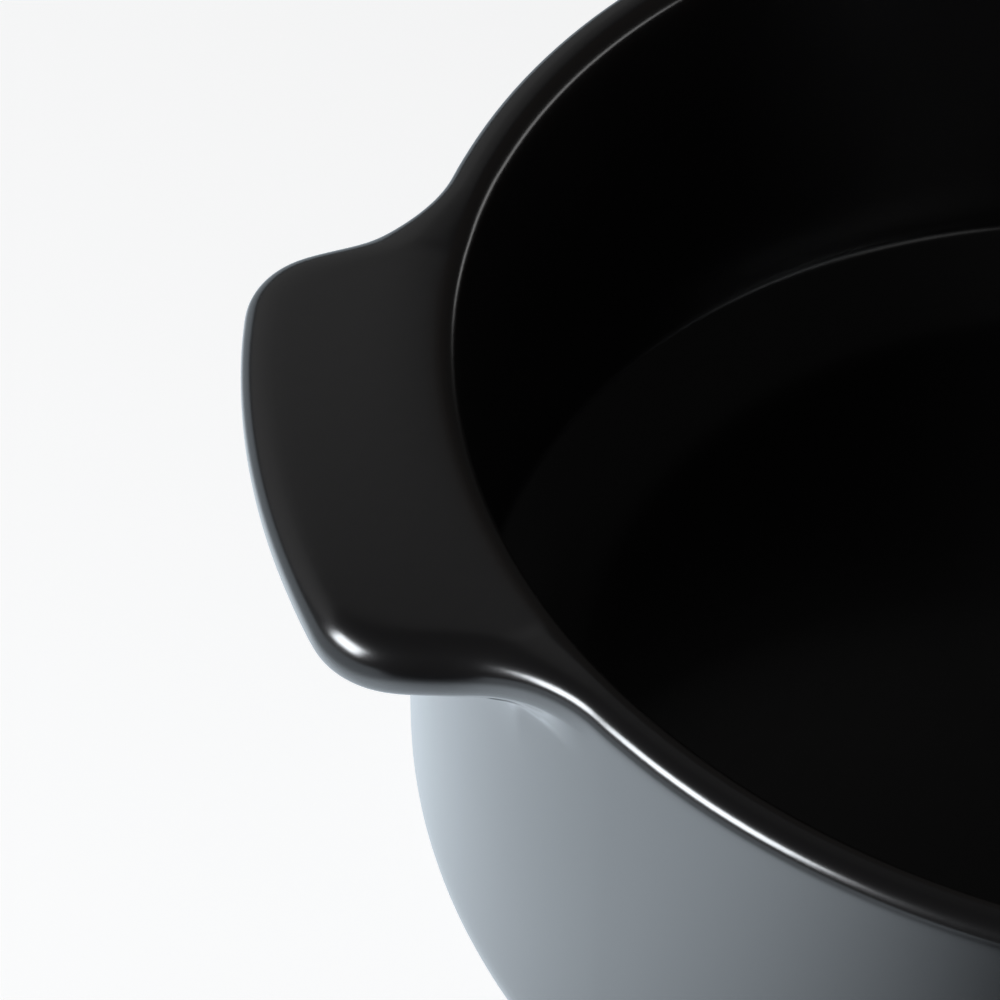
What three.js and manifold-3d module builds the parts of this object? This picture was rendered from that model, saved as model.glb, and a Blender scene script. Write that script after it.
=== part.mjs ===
// A round stoneware casserole with two tab ears flush with its rim, and its domed lid.
// The pot stands open and the lid lies upside down on its knob beside it.
// Millimetres, +Z up, ears along X, origin at the centre of the pot's base.
import * as THREE from 'three';
import { mergeVertices } from 'three/addons/utils/BufferGeometryUtils.js';
import Module from 'manifold-3d';

const wasm = await Module();
wasm.setup();

// Bowl, outside
const potHeight = 92;
const rimOuterRadius = 121.4;
const rimOuterRounding = 2.8;
const shoulderRadius = 119; // where the wall turns into the bottom corner
const shoulderRise = 14.5;
const shoulderRounding = 13;
const shoulderTurn = THREE.MathUtils.degToRad(58);
const footRadius = 103;
const footHeight = 1.6;

// Bowl, inside
const rimInnerRadius = 114;
const rimInnerRounding = 2.8;
const creaseRadius = 110.2; // where the wall meets the sloping band round the floor
const creaseRise = 22.5;
const creaseRounding = 3;
const floorRadius = 97.5;
const floorRise = 13.5;
const floorDish = 0.8;
const floorLevelRadius = 75; // the floor curves up from here to the band

// Ears
const earTipRadius = 145.8;
const earHalfWidth = 41; // at the tip, before the corners are rounded
const earFlare = THREE.MathUtils.degToRad(11);
const earCornerRadius = 14.5;
const earRootRadius = 25;
const earThickness = 9;
const earEdgeRounding = 4.2;
const earUnderFillet = 7;
const earLanding = rimOuterRadius + 2; // the flat face on the bowl that an ear is luted to
const earBite = 1; // how far an ear's stock runs into the wall before it is cut

// Lid, measured from the plane that lies on the rim
const lidRadius = 120;
const lidEdgeHeight = 6.5;
const lidEdgeRounding = 2.6;
const lidSeatChamfer = 1.3;
const lidCrownHeight = 30;
const lidWall = 6.5;
const lidFlangeRadius = 110.3;
const lidFlangeWidth = 6;
const lidFlangeDepth = 4.5;
const lidFlangeRounding = 1.4;
const steamHoleRadius = 2.5;
const steamHolePlace = 74;

// Knob, measured from the lid's crown
const knobHeight = 21;
const knobFootRadius = 27;
const knobFootFlare = 2;
const knobWaistRadius = 24;
const knobWaistRise = 9;
const knobTopRadius = 29;
const knobTopFlare = 5;
const knobRounding = 2.4;
const knobDishRadius = 22;
const knobDishDepth = 5;
const knobDishCurve = 4;

// The lid is turned over about a level line that passes beside the pot
const lidBearing = THREE.MathUtils.degToRad(45);
const turnDistance = 138;

const seatGap = 0.3; // between pieces that touch
const bowlSegments = 64;
const lidSegments = 64;
const knobSegments = 40;
const holeSegments = 12;
const arcSteps = 2;
const earCurveSteps = 4;
const beyond = 400; // larger than the pot, for cutting blocks
const weldDistance = 1e-4;

const quarterTurn = Math.PI / 2;
const halfTurn = Math.PI;
const glazeBlack = new THREE.Color(0x1b1a1c);

function toSolid(geometry) {
  const bare = geometry.clone();
  bare.deleteAttribute('normal');
  bare.deleteAttribute('uv');
  const welded = mergeVertices(bare, weldDistance);
  const corners = welded.index.array;
  const triangles = [];
  for (let i = 0; i < corners.length; i += 3) {
    const [a, b, c] = corners.subarray(i, i + 3);
    if (a !== b && b !== c && c !== a) triangles.push(a, b, c);
  }
  return new wasm.Manifold(new wasm.Mesh({
    numProp: 3,
    vertProperties: new Float32Array(welded.attributes.position.array),
    triVerts: new Uint32Array(triangles),
  }));
}

function toMesh(name, solid) {
  const { vertProperties, triVerts } = solid.getMesh();
  const geometry = new THREE.BufferGeometry();
  geometry.setAttribute('position', new THREE.BufferAttribute(vertProperties, 3));
  geometry.setIndex(new THREE.BufferAttribute(triVerts, 1));
  geometry.computeVertexNormals();
  const glaze = new THREE.MeshStandardMaterial({ color: glazeBlack, roughness: 0.3, metalness: 0 });
  const mesh = new THREE.Mesh(geometry, glaze);
  mesh.name = name;
  return mesh;
}

// Turns a profile of radius and height, drawn anticlockwise, about the vertical axis
function revolve(profile, segments) {
  const drawn = profile.getPoints(arcSteps);
  const points = drawn.filter((p, i) => i === 0 || p.distanceTo(drawn[i - 1]) > weldDistance);
  const geometry = new THREE.LatheGeometry(points, segments);
  return toSolid(geometry.rotateX(quarterTurn));
}

// Adds a round edge about a centre to a profile, from one direction to another
function roundEdge(profile, [radius, height], rounding, from, to) {
  profile.absarc(radius, height, rounding, from, to, to < from);
}

// All space past the landing on one side, as a block
function blockPast(reach, turn) {
  const block = new THREE.BoxGeometry(beyond, beyond, beyond);
  return toSolid(block.translate(reach + beyond / 2, 0, 0).rotateZ(turn));
}

function bowlOutside() {
  const shoulderCentre = [shoulderRadius - shoulderRounding, shoulderRise];
  const rimCentre = [rimOuterRadius - rimOuterRounding, potHeight - rimOuterRounding];
  const profile = new THREE.Path();
  profile.moveTo(0, 0);
  profile.lineTo(footRadius, 0);
  profile.lineTo(footRadius, footHeight);
  roundEdge(profile, shoulderCentre, shoulderRounding, -shoulderTurn, 0);
  roundEdge(profile, rimCentre, rimOuterRounding, 0, quarterTurn);
  profile.lineTo(0, potHeight);
  return revolve(profile, bowlSegments);
}

function bowlCavity() {
  const bandSlope = Math.atan2(creaseRise - floorRise, creaseRadius - floorRadius);
  const creaseReach = creaseRounding * Math.tan((quarterTurn - bandSlope) / 2);
  const creaseCentre = [creaseRadius - creaseRounding, creaseRise + creaseReach];
  const mouthRadius = rimInnerRadius + rimInnerRounding;
  const profile = new THREE.Path();
  profile.moveTo(0, floorRise - floorDish);
  profile.quadraticCurveTo(floorLevelRadius, floorRise - floorDish, floorRadius, floorRise);
  roundEdge(profile, creaseCentre, creaseRounding, bandSlope - quarterTurn, 0);
  roundEdge(profile, [mouthRadius, potHeight - rimInnerRounding], rimInnerRounding, halfTurn, quarterTurn);
  profile.lineTo(mouthRadius, potHeight + beyond);
  profile.lineTo(0, potHeight + beyond);
  return revolve(profile, bowlSegments);
}

// An ear from above, pointing along X: a tip concentric with the rim, rounded corners, flaring
// flanks, and hollow fillets that run into the rim. The margin draws the whole outline in.
function earPlan(margin) {
  const tip = earTipRadius - margin;
  const corner = earCornerRadius - margin;
  const root = earRootRadius + margin;
  const rim = rimOuterRadius - margin;
  const innerEnd = rimInnerRadius - earEdgeRounding - earBite;
  const normal = new THREE.Vector2(Math.sin(earFlare), Math.cos(earFlare));
  const along = new THREE.Vector2(Math.cos(earFlare), -Math.sin(earFlare));
  const flank = normal.dot(new THREE.Vector2(earTipRadius, earHalfWidth)) - margin;

  // The point at an offset from the flank and at a radius from the pot's axis
  function centreAt(offset, radius) {
    const across = flank + offset;
    const reach = Math.sqrt(radius * radius - across * across);
    return normal.clone().multiplyScalar(across).addScaledVector(along, reach);
  }

  const cornerCentre = centreAt(-corner, tip - corner);
  const rootCentre = centreAt(root, rim + root);
  const cornerAngle = cornerCentre.angle();
  const rootAngle = rootCentre.angle();
  const flankAngle = normal.angle();
  const plan = new THREE.Shape();
  plan.absarc(rootCentre.x, -rootCentre.y, root, halfTurn - rootAngle, halfTurn - flankAngle, true);
  plan.absarc(cornerCentre.x, -cornerCentre.y, corner, -flankAngle, -cornerAngle, false);
  plan.absarc(0, 0, tip, -cornerAngle, cornerAngle, false);
  plan.absarc(cornerCentre.x, cornerCentre.y, corner, cornerAngle, flankAngle, false);
  plan.absarc(rootCentre.x, rootCentre.y, root, flankAngle - halfTurn, rootAngle - halfTurn, true);
  plan.absarc(0, 0, innerEnd, rootAngle, -rootAngle, true);
  return plan;
}

// A tab with a bull-nosed edge, and a hollow fillet under it that runs down into the wall
function earStock(turn) {
  const underside = potHeight - earThickness;
  const slab = new THREE.ExtrudeGeometry(earPlan(0), {
    depth: earThickness - 2 * earEdgeRounding,
    bevelThickness: earEdgeRounding,
    bevelSize: earEdgeRounding,
    bevelOffset: -earEdgeRounding,
    bevelSegments: arcSteps,
    curveSegments: earCurveSteps,
  });
  slab.translate(0, 0, underside + earEdgeRounding).rotateZ(turn);

  const wall = rimOuterRadius - earBite / 2;
  const filletCentre = [wall + earUnderFillet, underside - earUnderFillet];
  const profile = new THREE.Path();
  profile.moveTo(wall - earBite, underside - earUnderFillet);
  roundEdge(profile, filletCentre, earUnderFillet, halfTurn, quarterTurn);
  profile.lineTo(wall + earUnderFillet, underside + earBite);
  profile.lineTo(wall - earBite, underside + earBite);
  profile.closePath();
  const prism = new THREE.ExtrudeGeometry(earPlan(earEdgeRounding), {
    depth: underside + earBite,
    bevelEnabled: false,
    curveSegments: earCurveSteps,
  });
  const fillet = revolve(profile, bowlSegments).intersect(toSolid(prism.rotateZ(turn)));
  return toSolid(slab).add(fillet);
}

function makePot() {
  const pot = new THREE.Group();
  let bowl = bowlOutside();
  for (const [name, turn] of [['right_ear', 0], ['left_ear', halfTurn]]) {
    const stock = earStock(turn);
    bowl = bowl.add(stock).subtract(blockPast(earLanding, turn));
    pot.add(toMesh(name, stock.intersect(blockPast(earLanding + seatGap, turn))));
  }
  pot.add(toMesh('pot_bowl', bowl.subtract(bowlCavity())));
  return pot;
}

// A shallow dome of even wall, with a flat seat and a short flange that keeps it on the rim
function lidShell() {
  const edgeRadius = lidRadius - lidEdgeRounding;
  const edgeRise = lidEdgeHeight - lidEdgeRounding;
  const drop = lidCrownHeight - edgeRise;
  const domeRadius = (edgeRadius ** 2 + drop ** 2 - lidEdgeRounding ** 2) / (2 * (drop - lidEdgeRounding));
  const domeCentre = lidCrownHeight - domeRadius;
  const edgeAngle = Math.atan2(edgeRise - domeCentre, edgeRadius);
  const crownAngle = Math.acos(knobTopRadius / domeRadius);
  const crown = domeCentre + domeRadius * Math.sin(crownAngle);
  const hollowRadius = domeRadius - lidWall;
  const flangeInner = lidFlangeRadius - lidFlangeWidth;
  const flangeFoot = lidFlangeRounding - lidFlangeDepth;
  const innerCorner = [flangeInner + lidFlangeRounding, flangeFoot];
  const outerCorner = [lidFlangeRadius - lidFlangeRounding, flangeFoot];

  const profile = new THREE.Path();
  profile.moveTo(0, domeCentre + hollowRadius);
  profile.absarc(0, domeCentre, hollowRadius, quarterTurn, Math.acos(flangeInner / hollowRadius), true);
  roundEdge(profile, innerCorner, lidFlangeRounding, -halfTurn, -quarterTurn);
  roundEdge(profile, outerCorner, lidFlangeRounding, -quarterTurn, 0);
  profile.lineTo(lidFlangeRadius, 0);
  profile.lineTo(lidRadius - lidSeatChamfer, 0);
  profile.lineTo(lidRadius, lidSeatChamfer);
  roundEdge(profile, [edgeRadius, edgeRise], lidEdgeRounding, 0, edgeAngle);
  profile.absarc(0, domeCentre, domeRadius, edgeAngle, crownAngle, false);
  profile.lineTo(0, crown);

  const steamHole = new THREE.CylinderGeometry(steamHoleRadius, steamHoleRadius, beyond, holeSegments);
  steamHole.rotateX(quarterTurn).translate(0, steamHolePlace, 0);
  return { shell: revolve(profile, lidSegments).subtract(toSolid(steamHole)), crown };
}

// A waisted knob with a dished top, flat round the dish so that the lid stands on it
function knobSolid() {
  const lipHeight = knobHeight - knobRounding;
  const profile = new THREE.Path();
  profile.moveTo(0, 0);
  profile.lineTo(knobFootRadius, 0);
  profile.quadraticCurveTo(knobWaistRadius, knobFootFlare, knobWaistRadius, knobWaistRise);
  profile.quadraticCurveTo(knobWaistRadius, knobHeight - knobTopFlare, knobTopRadius, lipHeight);
  roundEdge(profile, [knobTopRadius - knobRounding, lipHeight], knobRounding, 0, quarterTurn);
  profile.lineTo(knobDishRadius, knobHeight);
  const dishFloor = knobHeight - knobDishDepth;
  profile.quadraticCurveTo(knobDishRadius - knobDishCurve, dishFloor, 0, dishFloor);
  return revolve(profile, knobSegments);
}

function makeLid() {
  const lid = new THREE.Group();
  const { shell, crown } = lidShell();
  const knob = toMesh('lid_knob', knobSolid());
  knob.position.z = crown + seatGap;
  lid.add(toMesh('lid_dome', shell), knob);

  // Half a turn about the level line sets the knob's flat top on the table
  const outward = new THREE.Vector3(Math.cos(lidBearing), Math.sin(lidBearing), 0);
  const turnLine = new THREE.Vector3(outward.y, -outward.x, 0);
  lid.quaternion.setFromAxisAngle(turnLine, halfTurn);
  lid.position.copy(outward).multiplyScalar(2 * turnDistance);
  lid.position.z = crown + seatGap + knobHeight;
  return lid;
}

const casserole = new THREE.Group();
casserole.add(makePot(), makeLid());

export default casserole;
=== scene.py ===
import math

import bmesh
import bpy
from mathutils import Matrix, Vector


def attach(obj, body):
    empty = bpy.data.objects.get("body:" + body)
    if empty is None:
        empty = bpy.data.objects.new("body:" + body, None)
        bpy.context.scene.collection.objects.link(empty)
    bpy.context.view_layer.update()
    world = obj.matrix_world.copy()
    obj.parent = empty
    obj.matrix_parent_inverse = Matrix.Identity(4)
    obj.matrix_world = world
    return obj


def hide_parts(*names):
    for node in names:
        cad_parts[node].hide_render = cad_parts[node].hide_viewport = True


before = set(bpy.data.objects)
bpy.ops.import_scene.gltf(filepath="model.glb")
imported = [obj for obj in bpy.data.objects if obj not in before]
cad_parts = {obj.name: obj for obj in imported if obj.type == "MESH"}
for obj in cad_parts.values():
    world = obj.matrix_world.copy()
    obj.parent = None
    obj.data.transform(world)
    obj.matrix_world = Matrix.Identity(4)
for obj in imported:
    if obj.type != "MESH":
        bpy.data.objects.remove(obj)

scene = bpy.context.scene
scene.view_settings.view_transform = "Standard"
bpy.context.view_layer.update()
print("frame loaded:", ", ".join(sorted(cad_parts)))


def arc(centre, radius, start, end, steps):
    # points on a round edge, angles in degrees
    points = []
    for i in range(steps + 1):
        a = math.radians(start + (end - start) * i / steps)
        points.append((centre[0] + radius * math.cos(a), centre[1] + radius * math.sin(a)))
    return points


def mix(a, b, share):
    return a + (b - a) * share


def smooth(share):
    share = min(max(share, 0.0), 1.0)
    return share * share * (3 - 2 * share)


def profileVerts(bm, profile, rowLayer):
    # a chain of edges in the XZ plane, each vertex knowing its row
    verts = []
    for row, (radius, height) in enumerate(profile):
        v = bm.verts.new((radius, 0, height))
        v[rowLayer] = row
        verts.append(v)
    edges = [bm.edges.new(pair) for pair in zip(verts, verts[1:])]
    return verts + edges


def spinProfile(bm, geom, arcs):
    # one full turn in several arcs, finer where the shape needs it
    for angle, steps in arcs:
        turned = bmesh.ops.spin(bm, geom=geom, cent=(0, 0, 0), axis=(0, 0, 1), dvec=(0, 0, 0),
                                angle=math.radians(angle), steps=steps, use_duplicate=False,
                                use_merge=angle == 360)
        geom = turned["geom_last"]
    bmesh.ops.remove_doubles(bm, verts=bm.verts, dist=0.001)
    bmesh.ops.dissolve_degenerate(bm, dist=0.0001, edges=bm.edges)
    bmesh.ops.recalc_face_normals(bm, faces=bm.faces)


def finishPiece(bm, name, material, levels):
    # millimetres to metres, then a smooth subdivided object at the origin
    bmesh.ops.scale(bm, vec=(0.001, 0.001, 0.001), verts=bm.verts)
    for face in bm.faces:
        face.smooth = True
    mesh = bpy.data.meshes.new(name)
    bm.to_mesh(mesh)
    bm.free()
    piece = bpy.data.objects.new(name, mesh)
    scene.collection.objects.link(piece)
    mesh.materials.append(material)
    subsurf = piece.modifiers.new("soften", "SUBSURF")
    subsurf.levels = subsurf.render_levels = levels
    return piece


# satin black glaze, thin and brown where it runs off the mouth, bare clay under the foot
glaze = {
    "black": (0.0135, 0.0125, 0.013, 1),
    "smoke": (0.018, 0.0167, 0.0173, 1),
    "brown": (0.02, 0.013, 0.009, 1),
    "clay": (0.34, 0.26, 0.2, 1),
    "roughLow": 0.22, "roughHigh": 0.28, "clayRough": 0.8,
    "coatRough": 0.2, "bend": 1.85,
}


def link(tree, fromNode, fromSocket, toNode, toSocket):
    tree.links.new(fromNode.outputs[fromSocket], toNode.inputs[toSocket])


def blackGlaze():
    material = bpy.data.materials.new("blackGlaze")
    material.use_nodes = True
    tree = material.node_tree
    shader = tree.nodes["Principled BSDF"]
    place = tree.nodes.new("ShaderNodeTexCoord")

    cloud = tree.nodes.new("ShaderNodeTexNoise")  # slow drift of the glaze's depth
    cloud.inputs["Scale"].default_value = 38
    cloud.inputs["Detail"].default_value = 4
    link(tree, place, "Object", cloud, "Vector")
    tone = tree.nodes.new("ShaderNodeMix")
    tone.data_type = "RGBA"
    tone.inputs["A"].default_value = glaze["black"]
    tone.inputs["B"].default_value = glaze["smoke"]
    link(tree, cloud, "Fac", tone, "Factor")

    broken = tree.nodes.new("ShaderNodeAttribute")  # the glaze runs thin and brown on sharp edges
    broken.attribute_name = "thinGlaze"
    edge = tree.nodes.new("ShaderNodeMix")
    edge.data_type = "RGBA"
    edge.inputs["B"].default_value = glaze["brown"]
    link(tree, broken, "Fac", edge, "Factor")
    link(tree, tone, "Result", edge, "A")

    bare = tree.nodes.new("ShaderNodeAttribute")  # wiped clean of glaze before the firing
    bare.attribute_name = "bareClay"
    foot = tree.nodes.new("ShaderNodeMix")
    foot.data_type = "RGBA"
    foot.inputs["B"].default_value = glaze["clay"]
    link(tree, bare, "Fac", foot, "Factor")
    link(tree, edge, "Result", foot, "A")
    link(tree, foot, "Result", shader, "Base Color")

    rough = tree.nodes.new("ShaderNodeMapRange")
    rough.inputs["To Min"].default_value = glaze["roughLow"]
    rough.inputs["To Max"].default_value = glaze["roughHigh"]
    link(tree, cloud, "Fac", rough, "Value")
    dry = tree.nodes.new("ShaderNodeMix")
    dry.inputs["B"].default_value = glaze["clayRough"]
    link(tree, bare, "Fac", dry, "Factor")
    link(tree, rough, "Result", dry, "A")
    link(tree, dry, "Result", shader, "Roughness")

    peel = tree.nodes.new("ShaderNodeTexNoise")  # faint orange peel
    peel.inputs["Scale"].default_value = 420
    peel.inputs["Detail"].default_value = 3
    link(tree, place, "Object", peel, "Vector")
    bump = tree.nodes.new("ShaderNodeBump")
    bump.inputs["Strength"].default_value = 0.05
    bump.inputs["Distance"].default_value = 0.0004
    link(tree, peel, "Fac", bump, "Height")
    link(tree, bump, "Normal", shader, "Normal")

    shader.inputs["IOR"].default_value = glaze["bend"]
    shader.inputs["Coat IOR"].default_value = glaze["bend"]
    shine = tree.nodes.new("ShaderNodeAttribute")  # the inside is less glossy than the outside
    shine.attribute_name = "gloss"
    link(tree, shine, "Fac", shader, "Coat Weight")
    shader.inputs["Coat Roughness"].default_value = glaze["coatRough"]
    return material


glazeBlack = blackGlaze()
print("glaze mixed")

# pot, in millimetres
pot = {
    "height": 92, "rimOuter": 121.4, "rimOuterRound": 2.8, "rimInner": 114, "rimInnerRound": 2.8,
    "shoulder": 119, "shoulderRise": 14.5, "shoulderRound": 13, "shoulderTurn": 58,
    "foot": 103, "crease": 110.2, "creaseRise": 22.5, "creaseRound": 3,
    "floor": 97.5, "floorRise": 13.5, "floorDish": 0.8,
    "earTip": 145.8, "earHalf": 41, "earFlare": 11, "earCorner": 14.5, "earRoot": 25,
    "earThick": 8.7, "earUpper": 5.2, "earLower": 2.6, "earUnder": 7, "earGrow": 12,
    "swellStart": 3, "swellTop": 3.6, "swellRows": 12,  # as many rows as the ear itself has
    "tipThick": 8.1, "tipUpper": 4.2, "tipFrom": 8, "tipTo": 17,  # thinner and sharper at the tip
    "lean": 6, "leanWidth": 8,
    "arcs": [(20, 27), (20, 14), (20, 27), (120, 40)],  # half a turn from 30 degrees before an ear
}


def earOutline(angle, margin):
    # the rim's outline from above with its ears, drawn in by a margin, as a radius at an angle
    angle = abs((angle + math.pi / 2) % math.pi - math.pi / 2)
    flare = math.radians(pot["earFlare"])
    normal = Vector((math.sin(flare), math.cos(flare)))
    along = Vector((math.cos(flare), -math.sin(flare)))
    flank = normal.dot(Vector((pot["earTip"], pot["earHalf"]))) - margin
    tip, rim = pot["earTip"] - margin, pot["rimOuter"] - margin
    corner, root = pot["earCorner"] - margin, pot["earRoot"] + margin

    def centreAt(offset, reach):
        across = flank + offset
        return normal * across + along * math.sqrt(reach * reach - across * across)

    def onCircle(centre, radius, side):
        turn = angle - math.atan2(centre.y, centre.x)
        reach = centre.length
        across = max(radius ** 2 - (reach * math.sin(turn)) ** 2, 0)
        return reach * math.cos(turn) + side * math.sqrt(across)

    cornerCentre, rootCentre = centreAt(-corner, tip - corner), centreAt(root, rim + root)
    cornerEnd, rootEnd = cornerCentre + normal * corner, rootCentre - normal * root
    if angle <= math.atan2(cornerCentre.y, cornerCentre.x):
        return tip
    if angle <= math.atan2(cornerEnd.y, cornerEnd.x):
        return onCircle(cornerCentre, corner, 1)
    if angle <= math.atan2(rootEnd.y, rootEnd.x):
        return flank / (math.cos(angle) * normal.x + math.sin(angle) * normal.y)
    if angle <= math.atan2(rootCentre.y, rootCentre.x):
        return onCircle(rootCentre, root, -1)
    return rim


def wallRadius(height):
    wallTop = pot["height"] - pot["rimOuterRound"]
    rise = (height - pot["shoulderRise"]) / (wallTop - pot["shoulderRise"])
    return mix(pot["shoulder"], pot["rimOuter"], rise)


def lowerOutside():
    # foot, bottom corner and the wall up to where the ears begin
    shoulderCentre = (pot["shoulder"] - pot["shoulderRound"], pot["shoulderRise"])
    foot = pot["foot"]
    points = [(0, 0), (30, 0), (65, 0), (92, 0), (foot - 1.2, 0), (foot - 0.3, 0.3), (foot, 0.9)]
    points += [(foot + 0.6, 1.5), (foot + 2, 1.9)]
    points += arc(shoulderCentre, pot["shoulderRound"], -pot["shoulderTurn"], 0, 5)
    points += [(wallRadius(z), z) for z in (22, 33, 45, 56, 65, 71)]
    return points


def mouthEdge():
    # where the top ends and the rounding into the pot begins
    return pot["rimInner"] + pot["rimInnerRound"] * (1 - math.sin(math.radians(pot["lean"])))


def topDrop(radius, edge):
    # the top leans in a little towards the mouth
    width = min(pot["leanWidth"], edge - mouthEdge())
    into = max(width - radius + mouthEdge(), 0)
    return math.tan(math.radians(pot["lean"])) * into * into / (2 * width)


def inside():
    # mouth rounding, wall, crease, sloping band and floor
    slope = math.atan2(pot["creaseRise"] - pot["floorRise"], pot["crease"] - pot["floor"])
    reach = pot["creaseRound"] * math.tan((math.pi / 2 - slope) / 2)
    creaseCentre = (pot["crease"] - pot["creaseRound"], pot["creaseRise"] + reach)
    top = pot["height"] - pot["rimInnerRound"]
    mouthCentre = (pot["rimInner"] + pot["rimInnerRound"], top)
    points = arc(mouthCentre, pot["rimInnerRound"], 90 + pot["lean"], 180, 4)
    for share in (0.05, 0.2, 0.4, 0.6, 0.8, 0.95):
        radius = mix(pot["rimInner"], pot["crease"], share)
        points.append((radius, mix(top, creaseCentre[1], share)))
    points += arc(creaseCentre, pot["creaseRound"], 0, math.degrees(slope) - 90, 4)
    for share in (0.35, 0.75):
        radius = mix(pot["crease"] - 1.6, pot["floor"], share)
        points.append((radius, mix(pot["creaseRise"] - 1.1, pot["floorRise"], share)))
    points += [(pot["floor"] - 2.5, pot["floorRise"] - 0.35), (90, pot["floorRise"] - 0.5)]
    level = pot["floorRise"] - pot["floorDish"]
    points += [(75, level + 0.1), (50, level), (25, level), (0, level)]
    return points


def rimRows(angle):
    # from the wall under the rim, round the outer edge and over the top, at one angle
    height = pot["height"]
    bearing = abs((math.degrees(angle) + 90) % 180 - 90)
    flank = smooth((bearing - pot["tipFrom"]) / (pot["tipTo"] - pot["tipFrom"]))
    under = height - mix(pot["tipThick"], pot["earThick"], flank)
    grown = earOutline(angle, 0) - pot["rimOuter"]
    share = smooth(grown / pot["earGrow"])

    # where an ear starts, the wall only swells out towards the rim
    foot = under - mix(pot["swellStart"], pot["earUnder"], share)
    swell = []
    for i in range(pot["swellRows"]):
        step = i / (pot["swellRows"] - 1)
        rise = mix(foot, under + pot["swellTop"], step)
        swell.append((wallRadius(rise) + grown * step ** 2, rise))

    # further out it has a fillet, a level underside and a rounded lower edge
    lower = min(pot["earLower"], max(grown * 0.4, 0.05))
    fillet = min(pot["earUnder"], max(grown - lower, 0.05))
    start = wallRadius(under) + fillet
    ear = arc((start, under - fillet), fillet, 180, 90, 4)
    ear += [(mix(start, earOutline(angle, lower), s), under) for s in (0.25, 0.5, 0.75)]
    for turn, rise in arc((0, 0), lower, -90, -22.5, 3):
        ear.append((earOutline(angle, lower - turn), under + lower + rise))
    rows = [(mix(s[0], e[0], share), mix(s[1], e[1], share)) for s, e in zip(swell, ear)]

    upper = mix(pot["rimOuterRound"], mix(pot["tipUpper"], pot["earUpper"], flank), share)
    for turn, rise in arc((0, 0), upper, 0, 90, 5):
        rows.append((earOutline(angle, upper - turn), height - upper + rise))
    edge = rows[-1][0]
    for s in (0.2, 0.45, 0.7, 0.9):
        radius = mix(edge, mouthEdge(), s)
        rows.append((radius, height - topDrop(radius, edge)))
    return rows


def buildPot():
    bm = bmesh.new()
    rowLayer = bm.verts.layers.int.new("row")
    thin = bm.verts.layers.float.new("thinGlaze")
    bare = bm.verts.layers.float.new("bareClay")
    gloss = bm.verts.layers.float.new("gloss")
    below, above = lowerOutside(), inside()
    first = len(below)
    rim = rimRows(math.pi / 2)
    geom = profileVerts(bm, below + rim + above, rowLayer)
    beforeEar = Matrix.Rotation(math.radians(-30), 3, "Z")
    bmesh.ops.rotate(bm, verts=bm.verts, cent=(0, 0, 0), matrix=beforeEar)
    spinProfile(bm, geom, pot["arcs"] * 2)
    mouthRow = first + len(rim)
    follow = (1, 0.85, 0.6, 0.3, 0.1)  # how far the mouth's rounding sinks with the top
    for v in bm.verts:  # push the rim's rows out into the ears
        row = v[rowLayer]
        angle = math.atan2(v.co.y, v.co.x)
        v[gloss] = 1 if row < mouthRow + len(follow) else 0
        if first <= row < mouthRow:
            radius, height = rimRows(angle)[row - first]
            v.co = (radius * math.cos(angle), radius * math.sin(angle), height)
        elif mouthRow <= row < mouthRow + len(follow):
            edge = earOutline(angle, pot["rimOuterRound"])
            v.co.z -= topDrop(mouthEdge(), edge) * follow[row - mouthRow]
            v[thin] = 0.5
        elif v.co.z < 0.6:
            v[bare] = 1
    return finishPiece(bm, "glazed_pot", glazeBlack, 1)


glazedPot = buildPot()
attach(glazedPot, "pot")
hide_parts("pot_bowl", "left_ear", "right_ear")
print("pot thrown:", len(glazedPot.data.polygons), "faces")

# lid, in millimetres, drawn the right way up from its seat
lid = {
    "radius": 120, "edgeHeight": 6.5, "edgeRound": 2.6, "crown": 30, "wall": 6.5,
    "flange": 110.3, "flangeWidth": 6, "flangeDepth": 4.5, "flangeRound": 1.4,
    "knobHeight": 21, "knobWaist": 24, "knobTop": 29, "knobRound": 2.4, "dish": 22, "dishDepth": 5,
    "holeRow": 74, "holeRadius": 2.5,
    "bearing": 45, "turnDistance": 138, "joint": 0.3, "steps": 96,
}


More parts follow.
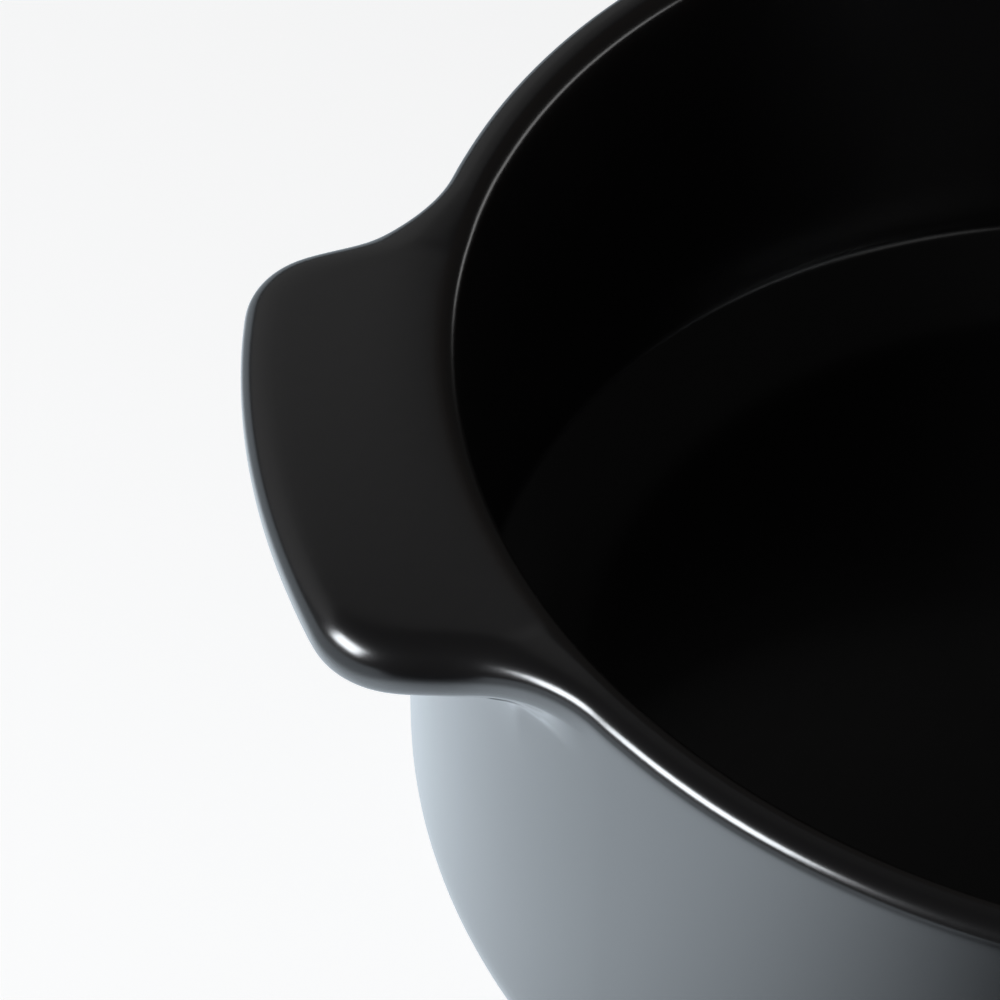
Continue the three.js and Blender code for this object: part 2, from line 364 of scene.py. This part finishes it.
def lidProfile():
    edge, rise = lid["radius"] - lid["edgeRound"], lid["edgeHeight"] - lid["edgeRound"]
    drop = lid["crown"] - rise
    dome = (edge ** 2 + drop ** 2 - lid["edgeRound"] ** 2) / (2 * (drop - lid["edgeRound"]))
    centre = lid["crown"] - dome
    hollow = dome - lid["wall"]

    def onDome(radius, size):
        return (radius, centre + math.sqrt(size * size - radius * radius))

    inner = lid["flange"] - lid["flangeWidth"]
    foot = lid["flangeRound"] - lid["flangeDepth"]
    points = [onDome(r, hollow) for r in (0, 20, 40, 58, 66, 74, 82, 92, 100, 103)]
    points += [(inner, onDome(inner, hollow)[1] - 1.2), (inner, 1.2)]
    points += arc((inner + lid["flangeRound"], foot), lid["flangeRound"], 180, 270, 3)
    points += arc((lid["flange"] - lid["flangeRound"], foot), lid["flangeRound"], 270, 360, 3)
    points += [(lid["flange"], -0.8), (lid["flange"] + 0.2, -0.15), (lid["flange"] + 1, 0)]
    points += [(115, 0), (118.2, 0), (119.3, 0.35), (119.85, 1), (120, 2)]
    edgeAngle = math.degrees(math.atan2(rise - centre, edge))
    points += arc((edge, rise), lid["edgeRound"], 0, edgeAngle, 4)
    points += [onDome(r, dome) for r in (110, 100, 91, 82, 74, 66, 58, 48, 39, 34)]
    base = onDome(lid["knobTop"], dome)[1]
    lip = base + lid["joint"] + lid["knobHeight"]
    waist, top = lid["knobWaist"], lid["knobTop"]
    points += [(30.8, base + 0.5), (28.2, base + 1.6), (26.2, base + 3.4), (24.8, base + 6)]
    points += [(waist, base + 9), (24.3, base + 12.2), (25.6, base + 15), (27.4, base + 17)]
    points += arc((top - lid["knobRound"], lip - lid["knobRound"]), lid["knobRound"], 0, 90, 4)
    points += [(lid["dish"] + 2.5, lip), (lid["dish"] + 0.8, lip), (lid["dish"] - 0.2, lip - 0.5)]
    well = lip - lid["dishDepth"]
    points += [(lid["dish"] - 2, lip - 2), (16, well + 1), (9, well + 0.1), (0, well)]
    return points, lip


def steamHole(bm):
    # open one vertex on each face of the dome and join the two rings
    place = Vector((0, lid["holeRow"]))
    pair = [v for v in bm.verts if (v.co.xy - place).length < 0.5]
    for v in pair:
        bmesh.ops.bevel(bm, geom=[v], offset=lid["holeRadius"], offset_type="OFFSET", segments=4,
                        profile=0.5, affect="VERTICES", material=-1)
    reach = lid["holeRadius"] * 0.95
    faces = [f for f in bm.faces if (f.calc_center_median().xy - place).length < reach]
    inHole = set(faces)
    rings = [e for e in bm.edges if len(inHole.intersection(e.link_faces)) == 1]
    bmesh.ops.delete(bm, geom=faces, context="FACES")
    bmesh.ops.bridge_loops(bm, edges=rings)
    bmesh.ops.bevel(bm, geom=rings, offset=0.7, offset_type="OFFSET", segments=2, profile=0.5,
                    affect="EDGES", material=-1)


def buildLid():
    bm = bmesh.new()
    rowLayer = bm.verts.layers.int.new("row")
    bm.verts.layers.float.new("thinGlaze")
    bm.verts.layers.float.new("bareClay")
    gloss = bm.verts.layers.float.new("gloss")
    profile, stand = lidProfile()
    geom = profileVerts(bm, profile, rowLayer)
    spinProfile(bm, geom, [(360, lid["steps"])])
    steamHole(bm)
    for v in bm.verts:
        v[gloss] = 1
    bearing = math.radians(lid["bearing"])
    outward = Vector((math.cos(bearing), math.sin(bearing), 0))
    turnLine = Vector((outward.y, -outward.x, 0))
    turned = Matrix.Rotation(math.pi, 3, turnLine)
    bmesh.ops.rotate(bm, verts=bm.verts, cent=(0, 0, 0), matrix=turned)
    setDown = outward * (2 * lid["turnDistance"]) + Vector((0, 0, stand))
    bmesh.ops.translate(bm, verts=bm.verts, vec=setDown)
    return finishPiece(bm, "glazed_lid", glazeBlack, 1)


glazedLid = buildLid()
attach(glazedLid, "lid")
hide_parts("lid_dome", "lid_knob")
print("lid thrown:", len(glazedLid.data.polygons), "faces")

# table and surroundings
table = {
    "size": 30, "drop": 0.0003, "white": 0.93, "seen": 0.8, "shade": 0.5,
    # painted light for the glaze's reflection of the table: shade to the unlit side, a pool round
    # the pot
    "paintedReflection": (0.81, 0.91, 1.0, 1), "bearing": 145,
    "near": -0.04, "far": 0.099, "low": 0.03, "high": 1.0,
    "paintedPool": 0.2, "paintedPoolEnd": 0.3, "beyond": 0.35,
}
sky = {"seen": 0.82, "dim": 0.02}


def whiteTable():
    bm = bmesh.new()
    bmesh.ops.create_grid(bm, x_segments=1, y_segments=1, size=table["size"])
    bmesh.ops.translate(bm, verts=bm.verts, vec=(0, 0, -table["drop"]))
    mesh = bpy.data.meshes.new("table")
    bm.to_mesh(mesh)
    bm.free()
    top = bpy.data.objects.new("table", mesh)
    scene.collection.objects.link(top)
    material = bpy.data.materials.new("tableWhite")
    material.use_nodes = True
    tree = material.node_tree
    tree.nodes.clear()
    out = tree.nodes.new("ShaderNodeOutputMaterial")
    path = tree.nodes.new("ShaderNodeLightPath")
    matt = tree.nodes.new("ShaderNodeBsdfDiffuse")
    matt.inputs["Color"].default_value = (table["white"],) * 3 + (1,)

    seen = tree.nodes.new("ShaderNodeEmission")  # near white to the camera, and the shadow stays
    seen.inputs["Strength"].default_value = table["seen"]
    shade = tree.nodes.new("ShaderNodeBsdfDiffuse")
    shade.inputs["Color"].default_value = (table["shade"],) * 3 + (1,)
    pale = tree.nodes.new("ShaderNodeAddShader")
    link(tree, seen, 0, pale, 0)
    link(tree, shade, 0, pale, 1)
    lit = tree.nodes.new("ShaderNodeMixShader")
    link(tree, path, "Is Camera Ray", lit, "Fac")
    link(tree, matt, 0, lit, 1)
    link(tree, pale, 0, lit, 2)

    place = tree.nodes.new("ShaderNodeTexCoord")  # in the glaze a painted shade: the table's reflection darkens towards the unlit side
    along = tree.nodes.new("ShaderNodeVectorMath")
    along.operation = "DOT_PRODUCT"
    bearing = math.radians(table["bearing"])
    along.inputs[1].default_value = (math.cos(bearing), math.sin(bearing), 0)
    link(tree, place, "Object", along, 0)
    paintedShade = tree.nodes.new("ShaderNodeMapRange")
    paintedShade.interpolation_type = "SMOOTHSTEP"
    paintedShade.inputs["From Min"].default_value = table["near"]
    paintedShade.inputs["From Max"].default_value = table["far"]
    paintedShade.inputs["To Min"].default_value = table["low"]
    paintedShade.inputs["To Max"].default_value = table["high"]
    link(tree, along, "Value", paintedShade, "Value")
    reach = tree.nodes.new("ShaderNodeVectorMath")  # and a painted pool of light: the reflection is brighter round the pot and dims away from it
    reach.operation = "LENGTH"
    link(tree, place, "Object", reach, 0)
    paintedPool = tree.nodes.new("ShaderNodeMapRange")
    paintedPool.interpolation_type = "SMOOTHSTEP"
    paintedPool.inputs["From Min"].default_value = table["paintedPool"]
    paintedPool.inputs["From Max"].default_value = table["paintedPoolEnd"]
    paintedPool.inputs["To Min"].default_value = 1
    paintedPool.inputs["To Max"].default_value = table["beyond"]
    link(tree, reach, "Value", paintedPool, "Value")
    paintedLight = tree.nodes.new("ShaderNodeMath")
    paintedLight.operation = "MULTIPLY"
    link(tree, paintedShade, "Result", paintedLight, 0)
    link(tree, paintedPool, "Result", paintedLight, 1)
    # painted reflection: the table as the glaze sees it, lit and shaded by painted light, not by
    # the lamps
    paintedReflection = tree.nodes.new("ShaderNodeEmission")
    paintedReflection.inputs["Color"].default_value = table["paintedReflection"]
    link(tree, paintedLight, 0, paintedReflection, "Strength")
    blend = tree.nodes.new("ShaderNodeMixShader")
    link(tree, path, "Is Glossy Ray", blend, "Fac")
    link(tree, lit, 0, blend, 1)
    link(tree, paintedReflection, 0, blend, 2)
    link(tree, blend, 0, out, "Surface")
    mesh.materials.append(material)


def studioSky():
    # white to the camera, a dim room to everything else
    world = bpy.data.worlds.new("studio")
    scene.world = world
    world.use_nodes = True
    tree = world.node_tree
    tree.nodes.clear()
    out = tree.nodes.new("ShaderNodeOutputWorld")
    path = tree.nodes.new("ShaderNodeLightPath")
    dim = tree.nodes.new("ShaderNodeBackground")
    dim.inputs["Strength"].default_value = sky["dim"]
    white = tree.nodes.new("ShaderNodeBackground")
    white.inputs["Strength"].default_value = sky["seen"]
    blend = tree.nodes.new("ShaderNodeMixShader")
    link(tree, path, "Is Camera Ray", blend, "Fac")
    link(tree, dim, 0, blend, 1)
    link(tree, white, 0, blend, 2)
    link(tree, blend, 0, out, "Surface")


whiteTable()
studioSky()

# lamps: bearing from +X and rise in degrees, distance and size in metres
lamps = {
    "keyBox": {"bearing": 194, "rise": 26, "distance": 0.9,
        "width": 0.42, "height": 0.32, "watts": 3.4, "tint": (0.92, 0.96, 1)},
    "paleWall": {"bearing": 8, "rise": 5, "distance": 2.5,
        "width": 2.6, "height": 0.6, "watts": 3.9},
    "paleCard": {"bearing": -60, "rise": 25, "distance": 2.0,
        "width": 0.7, "height": 0.5, "watts": 0.4},
    "backCard": {"bearing": 118, "rise": 29, "distance": 2.0,
        "width": 2.9, "height": 1.54, "watts": 1.35},
}


def hangLamp(name, lampSet):
    data = bpy.data.lights.new(name, "AREA")
    data.shape = "RECTANGLE"
    data.size, data.size_y = lampSet["width"], lampSet["height"]
    data.energy = lampSet["watts"]
    data.color = lampSet.get("tint", (1, 1, 1))
    lamp = bpy.data.objects.new(name, data)
    scene.collection.objects.link(lamp)
    a, e = math.radians(lampSet["bearing"]), math.radians(lampSet["rise"])
    away = Vector((math.cos(a) * math.cos(e), math.sin(a) * math.cos(e), math.sin(e)))
    aim = Vector((0, 0, 0.09))
    lamp.location = aim + away * lampSet["distance"]
    lamp.rotation_euler = (-away).to_track_quat("-Z", "Y").to_euler()
    lamp.visible_camera = False


for lampName, lampSet in lamps.items():
    hangLamp(lampName, lampSet)
print("table and lamps set")

# camera at the photograph's angle, turn in degrees
shot = {"place": (-0.2253, -0.5507, 0.6237), "turn": (45.825, -2.089, -9.910), "lens": 193.23}
cameraData = bpy.data.cameras.new("camera")
cameraData.lens = shot["lens"]
camera = bpy.data.objects.new("camera", cameraData)
camera.location = shot["place"]
camera.rotation_euler = [math.radians(a) for a in shot["turn"]]
scene.collection.objects.link(camera)
scene.camera = camera

print("camera set")
